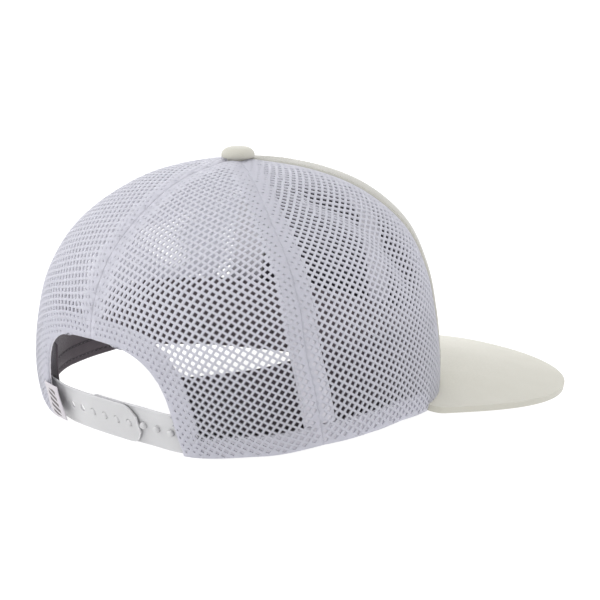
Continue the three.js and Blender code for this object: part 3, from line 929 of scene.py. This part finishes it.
# Button: cloth drawn over a domed cap
def button_piece():
    top = layer(90, TOP_ROW, 0).z
    drops = ((0, 0), (0.2, 0.008), (0.4, 0.03), (0.58, 0.085), (0.72, 0.16), (0.84, 0.28), (0.93, 0.43),
             (0.985, 0.62), (1.0, 0.78), (0.97, 0.92), (0.9, 1.0), (0.72, 1.0))
    bm = bmesh.new()
    ring = []
    for r, drop in drops:
        ring.append(bm.verts.new((r * BUTTON_RADIUS * MM, 0, (top + CLEAR + BUTTON_HEIGHT * (1 - drop)) * MM)))
    stem = BUTTON_HOLE - 2 * CLEAR
    for r, z in ((stem, top + CLEAR), (stem, top - 2.4), (0, top - 2.4)):
        ring.append(bm.verts.new((r * MM, 0, z * MM)))
    edges = [bm.edges.new((a, b)) for a, b in zip(ring, ring[1:])]
    bmesh.ops.spin(bm, geom=ring + edges, cent=(0, 0, 0), axis=(0, 0, 1), dvec=(0, 0, 0),
                   angle=2 * math.pi, steps=48, use_merge=True, use_duplicate=False)
    bmesh.ops.remove_doubles(bm, verts=bm.verts, dist=0.01 * MM)
    bmesh.ops.recalc_face_normals(bm, faces=bm.faces[:])
    for v in bm.verts:
        a = math.atan2(v.co.y, v.co.x)
        low = ease((top + CLEAR + BUTTON_HEIGHT * 0.6) - v.co.z / MM, 0, 3)
        pinch = 1 - 0.018 * low * (0.5 + 0.5 * math.cos(a * 14))
        v.co.x *= pinch
        v.co.y *= pinch
        v.co.y += (CENTRE_Y - TOP_FORWARD) * MM
    piece = to_object(bm, "button_covered", CLOTH, ("button",))
    soft = piece.modifiers.new("soften", "SUBSURF")
    soft.levels = soft.render_levels = 1


button_piece()


# Snap strap halves
def pegs_depth(x):
    start = STRAP_END_HOLES + 1
    return blend(STRAP_INNER, STRAP_OUTER, ease(-x, start, start + STRAP_STEP))


def strap_half(name, root, tip, depth, snaps, pierced):
    """A moulded strip with a raised rim, with a grid line on each snap, pierced there or not."""
    half = STRAP_HEIGHT / 2
    upper = tuple(STRAP_HEIGHT - step for step in reversed(STRAP_RIM_STEPS))
    rows = STRAP_RIM_STEPS + (half - SNAP_CELL, half, half + SNAP_CELL) + upper
    sign = 1 if tip > root else -1
    ordered = sorted(snaps, key=lambda x: x * sign)
    cuts = [root]
    for x in ordered:
        cuts += [x - sign * SNAP_PITCH / 2, x - sign * SNAP_CELL, x, x + sign * SNAP_CELL]
    last = cuts[-1]
    cuts = [c for k, c in enumerate(cuts) if k == 0 or (c - root) * sign > 1]
    cuts += [blend(last, tip, share) for share in (0.45, 0.75, 0.92, 1.0)]
    bm = bmesh.new()
    bmesh.ops.create_grid(bm, x_segments=len(cuts) - 1, y_segments=len(rows) - 1, size=0.5)
    for v in bm.verts:
        i, j = round((v.co.x + 0.5) * (len(cuts) - 1)), round((v.co.y + 0.5) * (len(rows) - 1))
        v.co = Vector((cuts[i], rows[j], 0))
    if pierced:
        centres = [v for v in bm.verts
                   if abs(v.co.y - half) < 0.01 and min(abs(v.co.x - x) for x in snaps) < 0.01]
        bmesh.ops.dissolve_verts(bm, verts=centres)
        bm.faces.ensure_lookup_table()
        holes = [f for f in bm.faces if len(f.verts) == 8]
        for radius in (PEG_RADIUS + 0.75, PEG_RADIUS + 0.25, PEG_RADIUS + 0.12):
            bmesh.ops.inset_individual(bm, faces=holes, thickness=0.3, use_even_offset=True)
            for f in holes:
                c = f.calc_center_median()
                for v in f.verts:
                    v.co = c + (v.co - c).normalized() * radius
        bmesh.ops.delete(bm, geom=holes, context="FACES_ONLY")
    rounded = half * 0.9
    for v in bm.verts:
        left = abs(tip - v.co.x)
        s = math.sqrt(max(1 - (1 - left / rounded) ** 2, 0)) if left < rounded else 1
        edge = min(v.co.y, STRAP_HEIGHT - v.co.y, left + 0.3)
        raised = STRAP_BEAD * (1 - ease(edge, 0.6, 1.5))
        height = STRAP_LIFT + half + (v.co.y - half) * max(s, 0.42)
        row = row_at(0, max(height, 0.01))
        v.co = to_frame(layer(back_angle(v.co.x, row), row, depth(v.co.x) - raised))
    bm.normal_update()
    turn_outward(bm)
    thicken(to_object(bm, name + "_moulded", PLASTIC, (name,)), STRAP_WALL * 0.9, 2)


def peg_row(name, snaps, depth):
    """Pegs with rounded heads, one mesh for the whole row."""
    bm = bmesh.new()
    middle = row_at(0, STRAP_LIFT + STRAP_HEIGHT / 2)
    for x in snaps:
        angle = back_angle(x, middle)
        foot, head = layer(angle, middle, depth(x) + 0.4), layer(angle, middle, depth(x) - PEG_STAND)
        axis = (head - foot).normalized()
        turned = axis.to_track_quat("Z", "Y").to_matrix().to_4x4()
        place = Matrix.Translation(to_frame((foot + head) / 2)) @ turned
        made = bmesh.ops.create_cone(bm, cap_ends=True, cap_tris=False, segments=24,
                                     radius1=PEG_RADIUS * MM, radius2=PEG_RADIUS * 0.9 * MM,
                                     depth=(head - foot).length * MM, matrix=place)
        top = [e for e in {e for v in made["verts"] for e in v.link_edges}
               if all((v.co - to_frame(head)).length < PEG_RADIUS * 1.05 * MM for v in e.verts)]
        bmesh.ops.bevel(bm, geom=top, offset=0.8 * MM, affect="EDGES", segments=4, profile=0.5, material=-1)
    to_object(bm, name, PLASTIC)


hole_snaps = [SNAP_FIRST + SNAP_PITCH * k for k in range(-2, 4)]
peg_snaps = [SNAP_FIRST + SNAP_PITCH * k for k in range(-5, 2)]
strap_half("strap_left", STRAP_ROOT, -STRAP_END_HOLES, lambda x: STRAP_OUTER, hole_snaps, True)
strap_half("strap_right", -STRAP_ROOT, STRAP_END_PEGS, pegs_depth, peg_snaps, False)
peg_row("strap_pegs", peg_snaps, pegs_depth)


# Side label
def label_place(u, v):
    row = row_at(0, STRAP_LIFT + 1 + LABEL_HEIGHT * v)
    angle = back_angle(LABEL_PLACE + LABEL_WIDTH * (1 - u), row)
    return layer(angle, row, -CLEAR - 0.5 - 0.12 * math.sin(v * 7 + u * 2))


bm = grid_piece(16, 24, label_place, lambda u, v: (u * LABEL_WIDTH * MM, v * LABEL_HEIGHT * MM))
thicken(to_object(bm, "side_label_woven", LABEL, ("side_label",)), LABEL_THICK)


# Stitches: one mesh a row, each stitch a short swollen thread
def stitch_row(name, path, stitch, material):
    """path(t) for t from 0 to 1 gives a point and its outward normal, in millimetres."""
    pitch, length, radius = stitch
    steps = 240
    samples = [path(i / steps) for i in range(steps + 1)]
    run = np.concatenate([[0], np.cumsum([(b[0] - a[0]).length for a, b in zip(samples, samples[1:])])])
    bm = bmesh.new()
    for k in range(int(run[-1] / pitch)):
        t = np.interp((k + 0.5) * pitch, run, np.linspace(0, 1, steps + 1))
        p, n = path(t)
        q, _ = path(min(t + 0.004, 1))
        along = (q - p).normalized() if (q - p).length > 1e-6 else along
        side = n.cross(along).normalized()
        basis = Matrix((along, side, n)).transposed().to_4x4()
        shape = Matrix.Diagonal((length / 2 * MM, radius * MM, radius * 0.8 * MM, 1))
        place = Matrix.Translation(to_frame(p)) @ basis @ shape
        bmesh.ops.create_icosphere(bm, subdivisions=1, radius=1.0, matrix=place)
    to_object(bm, name, material)


def rim_path(sign, low, high, height, depth):
    def path(t):
        angle = blend(low, high, t)
        row = row_at(angle, height)
        return layer(sign * angle, row, depth), crown_normal(sign * angle, row)
    return path


def seam_path(seam, offset, first, depth):
    def path(t):
        row = blend(first, TOP_ROW - 0.25, t)
        angle = seam + turn(seam, row, offset)
        return layer(angle, row, depth), crown_normal(angle, row)
    return path


def opening_path(grow, depth):
    def path(t):
        angle, row = opening_edge(blend(0.02, 0.98, t), grow)
        return layer(angle, row, depth), crown_normal(angle, row)
    return path


hem_low = back_angle(-(OPENING_WIDTH / 2 + HEM_ROW), 0)
for side, sign in (("right", 1), ("left", -1)):
    path = rim_path(sign, hem_low, corner_angle, HEM_ROW, 0.15)
    stitch_row(f"hem_stitches_{side}", path, HEM_STITCH, WHITE_THREAD)
    path = seam_path(sign * FRONT_SEAM, sign * FRONT_ROW, 1.6, 0.02)
    stitch_row(f"front_seam_stitches_{side}", path, SEAM_STITCH, CREAM_THREAD)
    path = seam_path(180, sign * CENTRE_ROW, 1.6, 0.02)
    stitch_row(f"centre_stitches_{side}", path, SEAM_STITCH, CREAM_THREAD)
    for name, seam in (("side", SIDE_SEAM), ("back", 0)):
        first = row_at(seam, HEM_HEIGHT) if seam else row_at(0, OPENING_HEIGHT + 3)
        for letter, edge in (("a", -SEAM_ROW), ("b", SEAM_ROW)) if seam else (("b", SEAM_ROW),):
            path = seam_path(sign * seam, sign * edge, first, 0.12)
            stitch_row(f"{name}_seam_stitches_{side}_{letter}", path, SEAM_STITCH, WHITE_THREAD)
stitch_row("opening_stitches", opening_path(HEM_ROW, 0.15), HEM_STITCH, WHITE_THREAD)


def band_path(height, depth):
    def path(t):
        angle = blend(band_start + 1, 359 - band_start, t)
        p = band_point(angle, height, depth)
        n = crown_normal(angle, row_at(angle, height))
        return p, -n
    return path


for name, height, depth in (("low", BAND_ROWS[0], 1.5), ("high", BAND_ROWS[1], 1.55)):
    path = band_path(height, depth)
    stitch_row(f"sweatband_stitches_{name}", path, BAND_STITCH, GREY_THREAD)

# Floor, light and camera
FLOOR_HALF = 6.0
WORLD_LIGHT = 0.8
AIM = (0, 0, 0.05)
floor_mesh = bmesh.new()
bmesh.ops.create_grid(floor_mesh, x_segments=1, y_segments=1, size=FLOOR_HALF)
floor_data = bpy.data.meshes.new("floor")
floor_mesh.to_mesh(floor_data)
floor_mesh.free()


# Matt white light table, lit softly from below
def sweep(tree, shader):
    tint(tree, shader, "6C6C6D", "707070", object_coords(tree), 500)


floor_data.materials.append(finish_material("matt_white_light_table", {
    "Roughness": 0.9, "Emission Color": (1, 1, 1, 1), "Emission Strength": 0.95}, sweep))
floor = bpy.data.objects.new("floor", floor_data)
bpy.context.scene.collection.objects.link(floor)

scene = bpy.context.scene
scene.view_settings.view_transform = "Standard"
world = bpy.data.worlds.new("studio")
scene.world = world
world.use_nodes = True
world.node_tree.nodes["Background"].inputs["Color"].default_value = rgb("FFFFFF")
world.node_tree.nodes["Background"].inputs["Strength"].default_value = WORLD_LIGHT


def softbox(name, place, size, watts):
    """An area light that faces the middle of the cap."""
    light = bpy.data.lights.new(name, "AREA")
    light.shape = "RECTANGLE"
    light.size, light.size_y = size
    light.energy = watts
    lamp = bpy.data.objects.new(name, light)
    lamp.location = place
    lamp.rotation_euler = (Vector(AIM) - Vector(place)).to_track_quat("-Z", "Y").to_euler()
    scene.collection.objects.link(lamp)


softbox("overhead", (0.1, 0.0, 1.6), (1.6, 1.6), 5)
softbox("behind", (1.5, -1.2, 0.45), (1.8, 0.7), 16)
softbox("left", (1.2, 1.3, 1.1), (1.0, 1.0), 19)
softbox("near", (-0.9, 0.9, 1.5), (1.2, 1.2), 5)
softbox("right", (-1.2, -1.3, 0.8), (1.0, 1.0), 8)

# The photograph's view: from behind and the wearer's right, a little above. The distance and the
# target, right of the crown's axis and up, are in millimetres, the focal length in pixels
AZIMUTH, ELEVATION, ROLL = math.radians(229.68), math.radians(12.42), math.radians(-0.48)
DISTANCE = 1401.5
FOCAL_PIXELS = 3124.6
PICTURE_PIXELS = 600
SENSOR = 36.0
TARGET_RIGHT, TARGET_UP = 30.27, 51.29
right = Vector((math.cos(AZIMUTH), math.sin(AZIMUTH), 0))
back = Vector((math.sin(AZIMUTH) * math.cos(ELEVATION), -math.cos(AZIMUTH) * math.cos(ELEVATION),
               math.sin(ELEVATION)))
upward = back.cross(right)
target = right * TARGET_RIGHT + Vector((0, 0, TARGET_UP))
data = bpy.data.cameras.new("camera")
data.sensor_width = SENSOR
data.lens = FOCAL_PIXELS * SENSOR / PICTURE_PIXELS
data.clip_start = 0.05
camera = bpy.data.objects.new("camera", data)
scene.collection.objects.link(camera)
rolled_right = right * math.cos(ROLL) + upward * math.sin(ROLL)
rolled_up = upward * math.cos(ROLL) - right * math.sin(ROLL)
pose = Matrix((rolled_right, rolled_up, back)).transposed().to_4x4()
pose.translation = to_frame(target + back * DISTANCE)
camera.matrix_world = pose
scene.camera = camera
